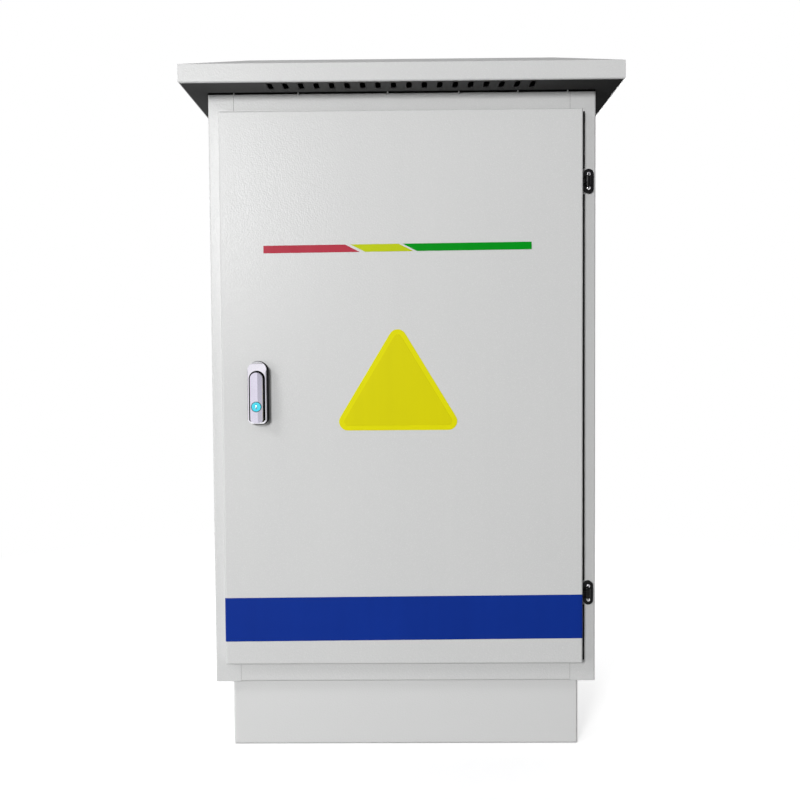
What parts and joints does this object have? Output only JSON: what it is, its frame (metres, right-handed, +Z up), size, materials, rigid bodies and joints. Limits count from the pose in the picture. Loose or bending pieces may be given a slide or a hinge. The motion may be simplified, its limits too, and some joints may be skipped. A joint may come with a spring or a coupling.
{
  "type": "traffic signal controller cabinet",
  "caption": "Outdoor steel cabinet of a traffic signal controller, with a vented rain hood, plinth, hinged door, rod lock and controller equipment inside.",
  "frame": {"origin": "on the ground at the middle of the plinth", "axes": "+Z up, -Y towards the door and the viewer, +X to the hinge side"},
  "size_m": [0.722, 0.57, 1.186],
  "materials": {
    "powder_coat": "light grey powder coat with a fine orange peel",
    "black_zinc": "black satin die cast",
    "lock_chrome": "bright chrome plate",
    "plated_steel": "zinc plated steel",
    "black_rubber": "black rubber",
    "key_teal": "blue-green enamel",
    "device_white": "moulded device housing",
    "toggle_blue": "blue toggle",
    "toggle_green": "green toggle",
    "button_red": "red button",
    "button_yellow": "yellow button",
    "button_green": "green button",
    "surge_orange": "moulded plug-in arrester",
    "terminal_grey": "moulded terminals",
    "duct_grey": "extruded trunking",
    "brass_bar": "brass bar",
    "nylon_white": "moulded nylon",
    "card_panel": "satin anodised panel",
    "fan_black": "moulded fan"
  },
  "bodies": {
    "cabinet": {"plinth": "powder_coat", "left_side_panel": "powder_coat", "right_side_panel": "powder_coat", "top_rail": "powder_coat", "bottom_rail": "powder_coat", "back_panel": "powder_coat", "floor_plate": "powder_coat", "entry_trim": "black_rubber", "top_plate": "powder_coat", "rain_hood": "powder_coat", "upper_hinge_frame_leaf": "black_zinc", "upper_hinge_pin": "plated_steel", "lower_hinge_frame_leaf": "black_zinc", "lower_hinge_pin": "plated_steel", "hinge_screws": "plated_steel", "mounting_plate": "powder_coat", "plate_standoffs": "plated_steel", "din_rails": "plated_steel", "main_breaker": "device_white", "branch_breakers": "device_white", "surge_arrester": "surge_orange", "service_socket": "device_white", "terminal_row": "terminal_grey", "earth_bar": "brass_bar", "wiring_ducts": "duct_grey", "controller_chassis": "card_panel", "power_card": "card_panel", "processor_card": "card_panel", "driver_cards": "card_panel", "manual_panel": "card_panel", "fan_frame": "fan_black", "fan_guard": "plated_steel"},
    "door": {"door_panel": "powder_coat", "door_seal": "black_rubber", "door_stiffeners": "powder_coat", "document_pocket": "powder_coat", "upper_hinge_door_leaf": "black_zinc", "lower_hinge_door_leaf": "black_zinc", "leaf_screws": "plated_steel", "lock_housing": "lock_chrome", "lock_gasket": "black_rubber", "lock_nut": "plated_steel", "rod_guides": "nylon_white"},
    "handle_rotor": {"lock_spindle": "plated_steel", "lock_cam": "plated_steel"},
    "handle_lever": {"lock_lever": "lock_chrome", "lever_pin": "plated_steel", "key_cylinder": "lock_chrome"},
    "key_plug": {"key_plug": "key_teal"},
    "upper_rod": {"upper_lock_rod": "plated_steel"},
    "lower_rod": {"lower_lock_rod": "plated_steel"},
    "main_toggle": {"main_toggle": "toggle_green"},
    "branch_toggle_1": {"branch_toggle_1": "toggle_blue"},
    "branch_toggle_2": {"branch_toggle_2": "toggle_blue"},
    "branch_toggle_3": {"branch_toggle_3": "toggle_blue"},
    "panel_button_1": {"panel_button_1": "button_red"},
    "panel_button_2": {"panel_button_2": "button_yellow"},
    "panel_button_3": {"panel_button_3": "button_green"},
    "fan_rotor": {"fan_rotor": "fan_black"}
  },
  "joints": [
    {"name": "door_hinge", "type": "hinge", "parent": "cabinet", "child": "door", "pos_m": [0.31, -0.233, 0.62], "axis": [0, 0, 1], "range_deg": [0, 120]},
    {"name": "handle_swing", "type": "hinge", "parent": "door", "child": "handle_rotor", "pos_m": [-0.2423, -0.247, 0.6409], "axis": [0, 1, 0], "range_deg": [0, 90]},
    {"name": "handle_lift", "type": "hinge", "parent": "handle_rotor", "child": "handle_lever", "pos_m": [-0.2423, -0.2696, 0.6459], "axis": [-1, 0, 0], "range_deg": [0, 25]},
    {"name": "key_turn", "type": "hinge", "parent": "handle_lever", "child": "key_plug", "pos_m": [-0.2423, -0.271, 0.5948], "axis": [0, 1, 0], "range_deg": [0, 90]},
    {"name": "upper_rod_slide", "type": "slide", "parent": "door", "child": "upper_rod", "axis": [0, 0, -1], "range_m": [0, 0.0199]},
    {"name": "lower_rod_slide", "type": "slide", "parent": "door", "child": "lower_rod", "axis": [0, 0, 1], "range_m": [0, 0.0199]},
    {"name": "main_toggle_hinge", "type": "hinge", "parent": "cabinet", "child": "main_toggle", "pos_m": [-0.2, 0.1155, 0.594], "axis": [1, 0, 0], "range_deg": [0, 80]},
    {"name": "branch_toggle_1_hinge", "type": "hinge", "parent": "cabinet", "child": "branch_toggle_1", "pos_m": [-0.1568, 0.1155, 0.594], "axis": [1, 0, 0], "range_deg": [0, 80]},
    {"name": "branch_toggle_2_hinge", "type": "hinge", "parent": "cabinet", "child": "branch_toggle_2", "pos_m": [-0.1388, 0.1155, 0.594], "axis": [1, 0, 0], "range_deg": [0, 80]},
    {"name": "branch_toggle_3_hinge", "type": "hinge", "parent": "cabinet", "child": "branch_toggle_3", "pos_m": [-0.1208, 0.1155, 0.594], "axis": [1, 0, 0], "range_deg": [0, 80]},
    {"name": "panel_button_1_push", "type": "slide", "parent": "cabinet", "child": "panel_button_1", "axis": [0, 1, 0], "range_m": [0, 0.003], "stiffness_N_per_m": 300, "springref_m": -0.002},
    {"name": "panel_button_2_push", "type": "slide", "parent": "cabinet", "child": "panel_button_2", "axis": [0, 1, 0], "range_m": [0, 0.003], "stiffness_N_per_m": 300, "springref_m": -0.002},
    {"name": "panel_button_3_push", "type": "slide", "parent": "cabinet", "child": "panel_button_3", "axis": [0, 1, 0], "range_m": [0, 0.003], "stiffness_N_per_m": 300, "springref_m": -0.002},
    {"name": "fan_spin", "type": "hinge", "parent": "cabinet", "child": "fan_rotor", "pos_m": [0, 0.02, 1.102], "axis": [0, 0, 1], "continuous": true}
  ],
  "couplings": [
    {"joint": "upper_rod_slide", "follows": "handle_swing", "m_per_rad": 0.012604},
    {"joint": "lower_rod_slide", "follows": "handle_swing", "m_per_rad": 0.012604}
  ]
}
